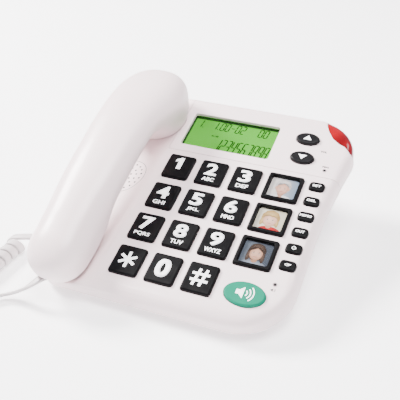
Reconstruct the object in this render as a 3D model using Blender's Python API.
"""Corded desk telephone: big keys, three picture keys, tilted display, handset in a side cradle.

Lengths are millimetres in the deck frame (x to the right, v up the sloping deck, w out of it) until
settle() turns them into metres in the world frame (X right, Y back, Z up, table at Z = 0).
"""

import math

import bmesh
import bpy
import numpy as np
from mathutils import Matrix, Vector

# Deck frame
TILT = math.radians(17.0)
DECK_Z = 36.5  # height of the middle of the dial keys over the table
SHIFT_X, SHIFT_Y = -0.03, 19.54  # from the middle of the dial keys to the middle of the plan

# Housing
LEFT_X, FRONT_V, WAIST_X = -88.0, -65.9, 80.9
WAIST_V, WAIST_CURVE = 2.0, 0.00115
CORNER_LEFT, CORNER_RIGHT = 24.0, 35.0
SLAB_T = 13.5
SHOULDER = 7.0
WALL = 2.4
GAP = 0.3
VALLEY_X0, VALLEY_X1, VALLEY_W = -39.5, -60.0, -6.0
FLOOR_Z = 2.5
FOOT_INSET, FOOT_SLOPE, FOOT_FRONT = 2.5, 0.45, 1.3  # how the lower housing draws in towards the table
FOOT_CORNER = -28.0  # in front of this line the front corners draw in along their own normals
FASCIA_V, FASCIA_X, FASCIA_T = 57.2, -38.5, 2.0

# Keys
PITCH_X, PITCH_V = 24.0, 27.8
GRID_X, GRID_V = 0.4, -0.8
KEY_HALF = (9.45, 10.8)
KEY_PROUD, FUNCTION_PROUD, KEY_BEVEL = 2.0, 1.6, 0.8
DIAL_CORNER, FUNCTION_CORNER = 1.6, 2.2
PHOTO_X, PHOTO_HALF, COVER_HALF = 50.4, (11.9, 11.6), (9.2, 8.9)
CARD_DEPTH, COVER_T = 2.4, 0.7  # the picture pocket under the key's top, and the clear cover in it
FUNCTION_X, FUNCTION_HALF = 71.4, (5.1, 3.8)
FUNCTION_V0, FUNCTION_PITCH = 47.6, -13.25
ARROW_AT, ARROW_HALF = ((53.9, 89.4), (54.9, 71.0)), (8.3, 5.6)
SPEAKER_AT, SPEAKER_HALF = (53.3, -45.4), (12.9, 8.4)
FLANGE = 0.9

GRILLE_AT, GRILLE_RINGS = (-60.5, 29.5), ((0, 1), (4.0, 6), (8.0, 12), (12.0, 18))

# Display
LCD_AT, LCD_HALF = (0.2, 80.4), (32.2, 16.4)

# Handset
HAND_V0, HAND_V1 = -73.5, 111.0
HAND_CAP0, HAND_CAP1 = 21.0, 34.0
HAND_WALL, HAND_PART = 2.2, 7.0
CRADLE_GAP = 0.6
HAND_CENTRE = ((-74, -63.8), (-40, -63.2), (10, -62.3), (50, -61.3), (72, -59.8), (113, -59.6))
HAND_MID = ((-74, 11), (-55, 10.5), (-35, 13), (-10, 20), (20, 25), (50, 27), (72, 22), (90, 18), (113, 17))
HAND_TOP = ((-74, 24), (-55, 27), (-35, 30.5), (-10, 34.5), (20, 38), (50, 39.5), (72, 38.5), (90, 35.5), (113, 34))
HAND_BOTTOM = ((-74, -8), (-36, -8), (-28, -5), (-15, 8), (0, 12), (30, 14.5), (49, 15), (58, 10), (65, -2),
               (72, -12), (113, -12))
HAND_HALF = ((-74, 18.6), (-55, 19), (-30, 19.8), (0, 20.5), (30, 21), (50, 22), (68, 25), (86, 26.3), (113, 26.3))
HAND_SEAT = -7.0
EAR_AT, MOUTH_AT, HOOK_AT = (-59.8, 84.0), (-62.5, -49.0), (-59.8, 84.0)
HAND_SQUARE_TOP, HAND_SQUARE_LOW = 2.35, 2.1

# Cord
COIL_R, TAIL_R, PLUG_HALF, PLUG_L = 5.8, 1.6, (3.7, 2.7), 11.0
JACK_HALF, JACK_L, JACK_WALL, JACK_FLOOR = (5.2, 3.8), 13.0, 1.2, 0.8
HAND_JACK_AT, HAND_JACK_TURN = (-67.0, -67.5, 2.0), math.radians(19.5)
BASE_JACK_AT = (-84.0, -24.0, 9.6)  # world frame, before the shift
LINE_JACK_AT = (-30.0, 98.0, 34.0)

DECK_TO_WORLD = Matrix.Translation((0, 0, DECK_Z)) @ Matrix.Rotation(TILT, 4, "X")


# ---------------------------------------------------------------- helpers
def material(name, colour, rough=0.45, metal=0.0, clear=0.0):
    mat = bpy.data.materials.new(name)
    mat.use_nodes = True
    shader = mat.node_tree.nodes["Principled BSDF"]
    shader.inputs["Base Color"].default_value = (*colour, 1)
    shader.inputs["Roughness"].default_value = rough
    shader.inputs["Metallic"].default_value = metal
    shader.inputs["Transmission Weight"].default_value = clear
    return mat


def loft(name, rings, split=False):
    """A closed body through rings of equal length, its side faces split the same way when they aren't flat."""
    mesh = bmesh.new()
    rows = [[mesh.verts.new(p) for p in ring] for ring in rings]
    count = len(rows[0])
    for low, high in zip(rows, rows[1:]):
        for i in range(count):
            j = (i + 1) % count
            if split:
                mesh.faces.new((low[i], low[j], high[j]))
                mesh.faces.new((low[i], high[j], high[i]))
            else:
                mesh.faces.new((low[i], low[j], high[j], high[i]))
    mesh.faces.new(rows[0][::-1])
    mesh.faces.new(rows[-1])
    bmesh.ops.recalc_face_normals(mesh, faces=mesh.faces)
    data = bpy.data.meshes.new(name)
    mesh.to_mesh(data)
    mesh.free()
    obj = bpy.data.objects.new(name, data)
    bpy.context.collection.objects.link(obj)
    return obj


def at_height(points, w):
    return [(x, v, w) for x, v in points]


def prism(name, points, w0, w1):
    return loft(name, [at_height(points, w0), at_height(points, w1)])


def combine(target, tool, operation):
    """target changed by tool, which is used up."""
    modifier = target.modifiers.new("Cut", "BOOLEAN")
    modifier.operation, modifier.object, modifier.solver = operation, tool, "EXACT"
    graph = bpy.context.evaluated_depsgraph_get()
    data = bpy.data.meshes.new_from_object(target.evaluated_get(graph))
    target.modifiers.remove(modifier)
    target.data = data
    bpy.data.objects.remove(tool)
    return target


def cut(target, *tools):
    for tool in tools:
        combine(target, tool, "DIFFERENCE")
    return target


def punch(target, tools):
    """target cut once by tools that stand apart from each other."""
    mesh = bmesh.new()
    for tool in tools:
        mesh.from_mesh(tool.data)
        bpy.data.objects.remove(tool)
    data = bpy.data.meshes.new("punch")
    mesh.to_mesh(data)
    mesh.free()
    punches = bpy.data.objects.new("punch", data)
    bpy.context.collection.objects.link(punches)
    return cut(target, punches)


def keep(target, tool):
    return combine(target, tool, "INTERSECT")


def arc(cx, cv, rx, rv, start, end, steps):
    angles = np.radians(np.linspace(start, end, steps + 1))
    return [(cx + rx * math.cos(a), cv + rv * math.sin(a)) for a in angles]


def round_rect(centre, half, radius, steps=2):
    (cx, cv), (hx, hv) = centre, half
    corners = ((hx, -hv, -90), (hx, hv, 0), (-hx, hv, 90), (-hx, -hv, 180))
    points = []
    for x, v, start in corners:
        cx2, cv2 = cx + x - math.copysign(radius, x), cv + v - math.copysign(radius, v)
        points += arc(cx2, cv2, radius, radius, start, start + 90, steps)
    return points


def around(centre, radius, count, turn=0.0):
    """count points spaced evenly on a circle, the first one turned by turn of a space."""
    angles = [2 * math.pi * (i + turn) / count for i in range(count)]
    return [(centre[0] + radius * math.cos(a), centre[1] + radius * math.sin(a)) for a in angles]


def oval(centre, half, steps=24):
    return arc(centre[0], centre[1], half[0], half[1], 0, 360 - 360 / steps, steps - 1)


def curve(table, at):
    """A smooth reading of a table of (position, value) pairs."""
    xs, ys = (np.array(c, float) for c in zip(*table))
    slope = np.gradient(ys, xs)
    at = np.clip(at, xs[0], xs[-1])
    i = np.clip(np.searchsorted(xs, at) - 1, 0, len(xs) - 2)
    h = xs[i + 1] - xs[i]
    t = (at - xs[i]) / h
    return ((1 + 2 * t) * (1 - t) ** 2 * ys[i] + t * (1 - t) ** 2 * h * slope[i]
            + t * t * (3 - 2 * t) * ys[i + 1] + t * t * (t - 1) * h * slope[i + 1])


def settle(obj, mat, origin=(0, 0, 0), world=False):
    """Millimetres to metres, deck to world, with the object's origin on the given point of its own frame."""
    shift = Matrix.Translation((-SHIFT_X, -SHIFT_Y, 0))
    place = shift @ (Matrix.Identity(4) if world else DECK_TO_WORLD)
    point = (place @ Vector(origin)) / 1000
    obj.data.transform(Matrix.Translation(-point) @ Matrix.Scale(0.001, 4) @ place)
    obj.location = point
    obj.data.materials.clear()
    obj.data.materials.append(mat)
    return obj


# ---------------------------------------------------------------- outline of the housing
def side_x(v):
    return WAIST_X + WAIST_CURVE * (v - WAIST_V) ** 2


def outline():
    """(x, v) points around the slab, counter-clockwise from the left of the front, with their normals."""
    points = arc(LEFT_X + CORNER_LEFT, FRONT_V + CORNER_LEFT, CORNER_LEFT, CORNER_LEFT, 180, 270, 6)
    right, front = side_x(-20) - CORNER_RIGHT, FRONT_V + CORNER_RIGHT
    points += arc(right, front, CORNER_RIGHT, CORNER_RIGHT, 270, 357, 8)
    points += [(side_x(v), v) for v in (-12, 10, 30, 50, 68)]
    points += arc(77.95, 81.1, 10, 10, -9, 3, 1)
    points += arc(56.8, 84.15, 29.9, 29.9, 6, 72, 6)
    points += arc(58.1, 100.7, 14, 14, 71, 90, 2)
    back = points[-1][1]
    points += [(20, back), (-20, back)]
    points += arc(LEFT_X + 25, back - 25, 25, 25, 90, 180, 6)
    points += [(LEFT_X, v) for v in (50, 10, -25)]
    points = np.array(points)
    tangent = np.roll(points, -1, 0) - np.roll(points, 1, 0)
    normal = np.stack([tangent[:, 1], -tangent[:, 0]], 1)
    return points, normal / np.linalg.norm(normal, axis=1)[:, None]


OUTLINE, NORMALS = outline()


def inset(distance):
    return OUTLINE - NORMALS * np.asarray(distance).reshape(-1, 1)


def slab(name, offset, bottom=-SLAB_T, shoulder=SHOULDER):
    """The slab's body, shrunk by offset on the top and the sides."""
    round_in = shoulder - offset
    front = 1 + 0.7 * np.clip(-NORMALS[:, 1], 0, 1) ** 2
    side = offset * (1 + 0.5 * np.clip(-NORMALS[:, 1], 0, 1) ** 2)
    rings = [at_height(inset(side + 0.5), bottom)]
    for turn in np.radians(np.linspace(0, 90, 5)):
        step = side + round_in * (1 - math.cos(turn)) * front
        rings.append(at_height(inset(step), -offset - round_in * (1 - math.sin(turn))))
    return loft(name, rings)


def valley(name, drop):
    """What the finger valley under the handset takes away, its surface lowered by drop."""
    xs = np.linspace(VALLEY_X0 + 4, VALLEY_X1, 12)
    t = (VALLEY_X0 + 4 - xs) / (VALLEY_X0 + 4 - VALLEY_X1)
    ws = 0.4 + (VALLEY_W - 0.4) * t * t * (3 - 2 * t) - drop
    profile = [(-100, ws[-1])] + list(zip(xs[::-1], ws[::-1])) + [(VALLEY_X0 + 4, 20), (-100, 20)]
    rings = [[(x, v, w) for x, w in profile] for v in (-120, 160)]
    return loft(name, rings)


# ---------------------------------------------------------------- handset
def hand_x(v):
    return float(curve(HAND_CENTRE, v))


def hand_sections(grow, sides=24, stations=26):
    """Rings along the handset, its surface moved outward by grow."""
    turn = np.linspace(0, math.pi / 2, 7)[1:] * 0.98
    vs = np.concatenate([
        HAND_V0 + HAND_CAP0 * (1 - np.cos(turn[:-1])),
        np.linspace(HAND_V0 + HAND_CAP0, HAND_V1 - HAND_CAP1, stations - 12),
        HAND_V1 - HAND_CAP1 * (1 - np.cos(turn[-2::-1])),
    ])
    rings = []
    for v in vs:
        front, back = (HAND_V0 + HAND_CAP0 - v) / HAND_CAP0, (v - HAND_V1 + HAND_CAP1) / HAND_CAP1
        end = (1 - max(front, back, 0) ** 2.3) ** (1 / 2.3)
        mid, centre = float(curve(HAND_MID, v)), hand_x(v)
        half = float(curve(HAND_HALF, v)) * end + grow
        rise = (float(curve(HAND_TOP, v)) - mid) * end + grow
        drop = (mid - float(curve(HAND_BOTTOM, v))) * end + grow
        along = v + grow * (max(back, 0) ** 2 - max(front, 0) ** 2)
        ring = []
        for a in np.linspace(0, 2 * math.pi, sides, endpoint=False):
            c, s = math.cos(a), math.sin(a)
            power = 2 / (HAND_SQUARE_TOP if s > 0 else HAND_SQUARE_LOW)
            x = math.copysign(abs(c) ** power, c) * half
            w = math.copysign(abs(s) ** power, s) * (rise if s > 0 else drop)
            ring.append((centre + x, along, max(mid + w, HAND_SEAT - grow)))
        rings.append(ring)
    return rings


def hand_body(name, grow, **size):
    return loft(name, hand_sections(grow, **size)[::-1], split=True)


def hand_parting(name, low, high):
    """A slab-like block that follows the handset's parting line, from low to high over it."""
    rings = []
    for v in np.linspace(HAND_V0 - 10, HAND_V1 + 10, 26):
        w = max(float(curve(HAND_BOTTOM, v)), HAND_SEAT) + HAND_PART
        x0, x1 = hand_x(v) - 50, hand_x(v) + 50
        rings.append([(x0, v, w + low), (x1, v, w + low), (x1, v, w + high), (x0, v, w + high)])
    return loft(name, rings)


def turned_box(name, half, length, out):
    """A box along the handset's jack, from length inside to out outside its mouth."""
    (hx, hw), (cx, cv, cw) = half, HAND_JACK_AT
    rings = []
    for along in (-length, out):
        ax = -math.sin(HAND_JACK_TURN) * along
        av = -math.cos(HAND_JACK_TURN) * along
        rings.append([(cx + ax + sx * hx * math.cos(HAND_JACK_TURN), cv + av - sx * hx * math.sin(HAND_JACK_TURN),
                       cw + sw * hw) for sx, sw in ((-1, -1), (1, -1), (1, 1), (-1, 1))])
    return loft(name, rings)


def box(name, low, high):
    (x0, y0, z0), (x1, y1, z1) = low, high
    return loft(name, [[(x0, y0, z), (x1, y0, z), (x1, y1, z), (x0, y1, z)] for z in (z0, z1)])


# ---------------------------------------------------------------- scene
for old in list(bpy.data.objects):
    bpy.data.objects.remove(old)

WHITE = material("warm_white_plastic", (0.86, 0.80, 0.79))
BLACK = material("black_key_plastic", (0.012, 0.012, 0.014), 0.35)
CHARCOAL = material("charcoal_key_plastic", (0.03, 0.03, 0.032), 0.4)
TEAL = material("teal_key_plastic", (0.012, 0.39, 0.24), 0.4)
CLEAR = material("clear_acrylic", (0.95, 0.97, 0.95), 0.05, clear=1.0)
GLASS = material("display_green", (0.18, 0.56, 0.10), 0.25)
RED = material("red_lens", (0.55, 0.01, 0.02), 0.12, clear=0.4)
BOARD = material("circuit_board", (0.03, 0.16, 0.06), 0.5)
RUBBER = material("rubber", (0.03, 0.03, 0.03), 0.8)
SILICONE = material("silicone_mat", (0.55, 0.55, 0.53), 0.6)
STEEL = material("steel", (0.5, 0.5, 0.5), 0.3, metal=1.0)
CORD = material("cord_jacket", (0.80, 0.76, 0.76), 0.5)
PLUG = material("plug_polycarbonate", (0.75, 0.74, 0.70), 0.2)
LAMP = material("lamp_lens", (0.5, 0.5, 0.5), 0.2)

dial_at = [(GRID_X + PITCH_X * (i % 3 - 1), GRID_V + PITCH_V * (1.5 - i // 3)) for i in range(12)]
photo_at = [(PHOTO_X, GRID_V + PITCH_V * (1.5 - i)) for i in range(3)]
function_at = [(FUNCTION_X, FUNCTION_V0 + FUNCTION_PITCH * i) for i in range(6)]
LAMPS = (("message_lamp", (72.2, 63.6)), ("speaker_lamp", (68.2, -33.6)))


# ---------------------------------------------------------------- keys
def grown(half, by):
    return (half[0] + by, half[1] + by)


def key_shape(kind, at, half, by=0.0):
    if kind == "oval":
        return oval(at, grown(half, by))
    return round_rect(at, grown(half, by), (DIAL_CORNER if kind == "dial" else FUNCTION_CORNER) + max(by, -1.0))


KEYS = [("key_" + n, "dial", at, KEY_HALF, BLACK) for n, at in zip(
    ("1", "2", "3", "4", "5", "6", "7", "8", "9", "star", "0", "hash"), dial_at)]
KEYS += [(f"picture_key_{i + 1}", "dial", at, PHOTO_HALF, BLACK) for i, at in enumerate(photo_at)]
KEYS += [(f"function_key_{i + 1}", "function", at, FUNCTION_HALF, BLACK) for i, at in enumerate(function_at)]
KEYS += [("arrow_key_up", "oval", ARROW_AT[0], ARROW_HALF, CHARCOAL),
         ("arrow_key_down", "oval", ARROW_AT[1], ARROW_HALF, CHARCOAL),
         ("speaker_key", "oval", SPEAKER_AT, SPEAKER_HALF, TEAL)]

for name, kind, at, half, mat in KEYS:
    deep = FASCIA_T + 2 * GAP + WALL if "arrow" in name else WALL + GAP
    top = FUNCTION_PROUD if kind == "function" else KEY_PROUD
    flange = FLANGE / 2 if kind == "function" else FLANGE
    layers = [(flange, -deep - 1.0), (flange, -deep), (0, -deep), (0, top - KEY_BEVEL), (-KEY_BEVEL, top)]
    key = loft(name, [at_height(key_shape(kind, at, half, by), w) for by, w in layers])
    if name.startswith("picture"):
        cut(key, prism("pocket", round_rect(at, grown(COVER_HALF, GAP), 1.2), top - CARD_DEPTH, top + 1))
        cover_top = top - KEY_BEVEL
        cover = prism(name.replace("key", "cover"), round_rect(at, COVER_HALF, 1.0), cover_top - COVER_T, cover_top)
        settle(cover, CLEAR, (*at, top))
    settle(key, mat, (*at, 0))

# ---------------------------------------------------------------- top cover
LENS_EDGE = ((61.5, 130), (62.0, 112.5), (63.2, 107), (65.6, 101.6), (70.1, 94.9), (75.4, 90.8), (80.2, 88.6),
             (84.3, 84.8), (100, 78.5), (100, 130))


def lens_region(shift):
    """The corner taken by the ring lamp, its inner edge moved outward by shift."""
    return [(x + shift * 0.7, v + shift * 0.7) for x, v in LENS_EDGE]


def fascia_region(by, left=FASCIA_X):
    return [(left - by, FASCIA_V - by), (120, FASCIA_V - by), (120, 160), (left - by, 160)]


def openings(low, high, only):
    """Cutters for the holes of the deck, one body each and apart from each other."""
    tools = []
    for name, kind, at, half, _ in KEYS:
        if only is None or only(at):
            tools.append(prism("hole", key_shape(kind, at, half, GAP), low, high))
    for name, at in LAMPS:
        if only is None or only(at):
            tools.append(prism("hole", oval(at, (1.8, 1.8), 12), low, high))
    return tools


cavity = slab("cavity", WALL, -SLAB_T - 3, SHOULDER - 2)
cut(cavity, valley("raise", WALL), hand_body("raise", CRADLE_GAP + WALL, sides=22, stations=24))
ledge = cut(prism("ledge", fascia_region(WALL, left=-120), -40, 20), slab("core", FASCIA_T + GAP + WALL, -60))
cut(cavity, ledge)
pocket = cut(prism("pocket", fascia_region(0), -40, 20), slab("core", FASCIA_T + GAP, -60))
cover = slab("base_top_cover", 0)
cut(cover, valley("lower", 0), hand_body("lower", CRADLE_GAP), cavity, pocket)
holes = openings(-12.5, 8, None)
holes += [prism("lens", lens_region(-0.15), -11.0, 20),
          prism("window", round_rect(LCD_AT, grown(LCD_HALF, 2.4), 1.5), -12, 8),
          prism("plunger", oval(HOOK_AT, (4.0, 4.0), 16), -14, 0)]
for ring, count in GRILLE_RINGS:
    for x, v in around(GRILLE_AT, ring, count, 0.5):
        holes.append(prism("hole", oval((x, v), (0.8, 0.8), 6), -12, 3))
punch(cover, holes)
settle(cover, WHITE)

fascia = slab("display_fascia", 0)
keep(fascia, prism("area", fascia_region(-GAP), -SLAB_T + 1.5, 20))
cut(fascia, slab("core", FASCIA_T, -60), prism("lens", lens_region(-0.15), -40, 20))
cut(fascia, hand_body("lower", CRADLE_GAP))
holes = openings(-12, 8, lambda at: at[1] > FASCIA_V)
punch(fascia, holes + [prism("window", round_rect(LCD_AT, LCD_HALF, 1.8, 3), -12, 8)])
settle(fascia, WHITE)

lens = slab("ring_lamp_lens", 0)
keep(lens, prism("area", lens_region(0.15), -10.7, 20))
cut(lens, slab("core", 2.2, -60))
settle(lens, RED)

# ---------------------------------------------------------------- display, lamps, boards
window = prism("display_window", round_rect(LCD_AT, grown(LCD_HALF, 1.8), 1.2), -3.4, -FASCIA_T - GAP)
settle(window, CLEAR)
panel = prism("lcd_panel", round_rect(LCD_AT, grown(LCD_HALF, 1.4), 1.0), -5.4, -3.7)
settle(panel, GLASS)
for name, at in LAMPS:
    settle(prism(name, oval(at, (1.5, 1.5), 12), -8.0, 0.2), LAMP, (*at, 0))


def sheet(name, area, w0, w1):
    """A flat piece on the given area, held clear of the cover's inner walls."""
    return keep(prism(name, area, w0, w1), prism("limit", inset(WALL + 2.5).tolist(), w0 - 1, w1 + 1))


rubber = sheet("key_mat", round_rect((20.5, -1.6), (55.5, 54.6), 4), -8.1, -7.3)
settle(cut(rubber, prism("hole", oval(LAMPS[1][1], (2.2, 2.2), 12), -12, 0)), SILICONE)
settle(sheet("main_board", round_rect((20.5, 18), (55.5, 72.0), 3), -10.2, -8.6), BOARD)

# ---------------------------------------------------------------- lower housing
COS, SIN = math.cos(TILT), math.sin(TILT)


def deck_point(x, v, w):
    return (x, v * COS - w * SIN, v * SIN + w * COS + DECK_Z)


def lower_rings(by, w_top, z_low, front_v):
    """The housing under the slab: a ring on the slab's underside and a smaller one on the floor."""
    top, low = [], []
    for (x, v), (nx, nv) in zip(OUTLINE, NORMALS):
        x1, v1 = x - nx * (1.2 + by), max(v - nv * (1.2 + by), front_v)
        top.append(deck_point(x1, v1, w_top))
        _, y1, z1 = deck_point(x1, v1, -SLAB_T)
        if v < FOOT_CORNER:
            under = FOOT_INSET + (z1 - FLOOR_Z) * (FOOT_SLOPE - FOOT_FRONT * nv)
            low.append((x1 - nx * under, y1 - nv * under, z_low))
        else:
            under = FOOT_INSET + (z1 - FLOOR_Z) * FOOT_SLOPE
            low.append((x1 * (1 - under / 85), y1 - under * (max(v1, 0) / 114) ** 3, z_low))
    return [low, top]


housing = loft("base_bottom_cover", lower_rings(0, -SLAB_T - GAP, FLOOR_Z, -200))
inner_low, inner_top = lower_rings(WALL, -SLAB_T - GAP, FLOOR_Z + WALL, -56)
inner_over = [(x, y, z + 6) for x, y, z in inner_top]
cut(housing, loft("hollow", [inner_low, inner_top, inner_over]))
DOOR_AT, DOOR_HALF = (0.0, 38.0), (31.0, 18.0)
cut(housing, prism("door_hole", round_rect(DOOR_AT, grown(DOOR_HALF, GAP), 2), -5, 12))
door = prism("battery_door", round_rect(DOOR_AT, DOOR_HALF, 1.7), FLOOR_Z, FLOOR_Z + 1.8)
settle(door, WHITE, (*DOOR_AT, FLOOR_Z), world=True)

jx, jy, jz = BASE_JACK_AT
hy, hz = JACK_HALF
jack_box = ((jx, jy - hy, jz - hz), (jx + JACK_L, jy + hy, jz + hz))
cut(housing, box("hole", (jx - 8, jy - hy - GAP, jz - hz - GAP), (jx + JACK_L + GAP, jy + hy + GAP, jz + hz + GAP)))
jack = box("handset_cord_jack", *jack_box)
cut(jack, box("socket", (jx - 1, jy - hy + JACK_WALL, jz - hz + JACK_FLOOR),
              (jx + JACK_L - JACK_WALL, jy + hy - JACK_WALL, jz + hz - JACK_FLOOR)))
settle(jack, BLACK, world=True)

lx, ly, lz = LINE_JACK_AT
cut(housing, box("hole", (lx - 7.3, ly - 14.3, lz - 6.3), (lx + 7.3, ly + 20, lz + 6.3)))
jack = box("line_jack", (lx - 7, ly - 14, lz - 6), (lx + 7, ly, lz + 6))
cut(jack, box("socket", (lx - 5, ly - 11.5, lz - 4), (lx + 5, ly + 1, lz + 4)))
settle(jack, BLACK, world=True)

RINGER_AT = (28.0, 103.0, 34.0)
rx, ry, rz = RINGER_AT
cut(housing, box("hole", (rx - 6.3, ry - 15, rz - 2.0), (rx + 6.3, ry + 15, rz + 2.0)))
knob = box("ringer_switch", (rx - 3, ry - 8, rz - 1.6), (rx + 3, ry, rz + 1.6))
settle(knob, BLACK, RINGER_AT, world=True)
settle(housing, WHITE, world=True)

for name, x, y in (("foot_front_left", -60, -44), ("foot_front_right", 56, -44),
                   ("foot_rear_left", -50, 72), ("foot_rear_right", 46, 72)):
    settle(prism(name, oval((x, y), (6, 6), 20), 0, FLOOR_Z - GAP), RUBBER, (x, y, 0), world=True)

speaker = loft("loudspeaker", [at_height(oval(GRILLE_AT, (r, r), 24), w) for r, w in
                               ((8, -20), (8, -15), (17, -11), (17, -9.0))])
settle(speaker, BLACK)

plunger = loft("hook_plunger", [at_height(oval(HOOK_AT, (r, r), 16), w) for r, w in
                                ((6, -17.2), (6, -15.7), (3.6, -15.7), (3.6, -8.2), (2.8, -7.4))])
settle(plunger, WHITE, (*HOOK_AT, -7.4))

# ---------------------------------------------------------------- handset
for name, low, high in (("handset_back_shell", 0, 80), ("handset_front_shell", -60, -GAP)):
    shell = hand_body(name, 0)
    cut(shell, hand_body("hollow", -HAND_WALL, sides=20, stations=24))
    keep(shell, hand_parting("half", low, high))
    cut(shell, turned_box("jack_hole", grown(JACK_HALF, GAP), JACK_L + GAP, 20))
    if low:
        spots = around(EAR_AT, 0, 1) + around(EAR_AT, 7.5, 8) + around(MOUTH_AT, 3.0, 3)
        punch(shell, [prism("hole", oval(spot, (1.1, 1.1), 8), -20, HAND_SEAT + HAND_WALL + 1) for spot in spots])
    settle(shell, WHITE)

INSIDE = HAND_SEAT + HAND_WALL + GAP
settle(prism("earpiece", oval(EAR_AT, (9.5, 9.5), 20), INSIDE + 0.9, INSIDE + 7), BLACK)
settle(prism("microphone", oval(MOUTH_AT, (4.5, 4.5), 16), INSIDE + 0.5, INSIDE + 5), STEEL)
settle(box("handset_weight", (hand_x(20) - 8, -5, 21), (hand_x(20) + 8, 45, 27)), STEEL)
jack = turned_box("handset_jack", JACK_HALF, JACK_L, 0)
cut(jack, turned_box("socket", (JACK_HALF[0] - JACK_WALL, JACK_HALF[1] - JACK_FLOOR), JACK_L - JACK_WALL, 1))
settle(jack, BLACK)

# ---------------------------------------------------------------- cord
settle(turned_box("plug_handset", PLUG_HALF, PLUG_L, 1.0), PLUG)
settle(box("plug_base", (jx - 2, jy - PLUG_HALF[0], jz - PLUG_HALF[1]),
           (jx + PLUG_L, jy + PLUG_HALF[0], jz + PLUG_HALF[1])), PLUG, world=True)


def smooth_path(points, count):
    """Evenly spaced points on a smooth curve through the given ones."""
    knots = np.array(points, float)
    along = np.concatenate([[0], np.cumsum(np.linalg.norm(np.diff(knots, axis=0), axis=1))])
    fine = np.linspace(0, along[-1], 400)
    path = np.stack([curve(list(zip(along, knots[:, k])), fine) for k in range(3)], 1)
    run = np.concatenate([[0], np.cumsum(np.linalg.norm(np.diff(path, axis=0), axis=1))])
    even = np.linspace(0, run[-1], count)
    return np.stack([np.interp(even, run, path[:, k]) for k in range(3)], 1)


def tube(name, points, radius, count, resolution):
    data = bpy.data.curves.new(name, "CURVE")
    data.dimensions, data.use_fill_caps = "3D", True
    data.bevel_depth, data.bevel_resolution = radius / 1000, resolution
    spline = data.splines.new("POLY")
    path = (smooth_path(points, count) - (SHIFT_X, SHIFT_Y, 0)) / 1000
    spline.points.add(count - 1)
    for spot, place in zip(spline.points, path):
        spot.co = (*place, 1)
    obj = bpy.data.objects.new(name, data)
    bpy.context.collection.objects.link(obj)
    data.materials.append(CORD)
    return obj


def jack_mouth(out):
    cx, cv, cw = HAND_JACK_AT
    return deck_point(cx - math.sin(HAND_JACK_TURN) * out, cv - math.cos(HAND_JACK_TURN) * out, cw)


COIL_Z = COIL_R + 0.1
COIL_PATH = [(x, y, COIL_Z) for x, y in (
    (-113.8, -28.0), (-114.6, -40), (-115.6, -58), (-120, -90), (-126, -125), (-129, -160), (-126, -183),
    (-114, -194), (-102, -185), (-99, -165), (-99.5, -142), (-100, -121))]
TAIL_BASE = ((jx - 2.3, jy, jz), (jx - 12, jy - 0.2, 9.9), (-108, -24.5, 10.3), (-116, -24.3, 10.2),
             (-123.0, -23.6, 8.6), (-122.6, -22.0, 4.8), (-117.6, -21.2, 3.2), (-114.3, -22.9, 4.8),
             (-113.7, -25.4, 5.8), (-113.8, -27.6, COIL_Z))
TAIL_HANDSET = (jack_mouth(1.3), jack_mouth(5), (-72.6, -76.0, 15.8), (-77.3, -76.2, 12.2), (-82, -75.0, 8.2),
                (-87.5, -74.6, 4.4), (-92.5, -76.2, 2.7), (-97, -79.6, 2.3), (-101, -86, 2.3), (-102.5, -97, 2.6),
                (-101.2, -108, 4.0), (-100.1, -115.5, 5.5), (-100, -120.6, COIL_Z))
tube("cord_coil", COIL_PATH, COIL_R, 34, 3)
tube("cord_tail_base", TAIL_BASE, TAIL_R, 22, 2)
tube("cord_tail_handset", TAIL_HANDSET, TAIL_R, 22, 2)

for obj in bpy.data.objects:
    if obj.type == "MESH":
        obj.data.shade_smooth()
        obj.data.set_sharp_from_angle(angle=math.radians(32))
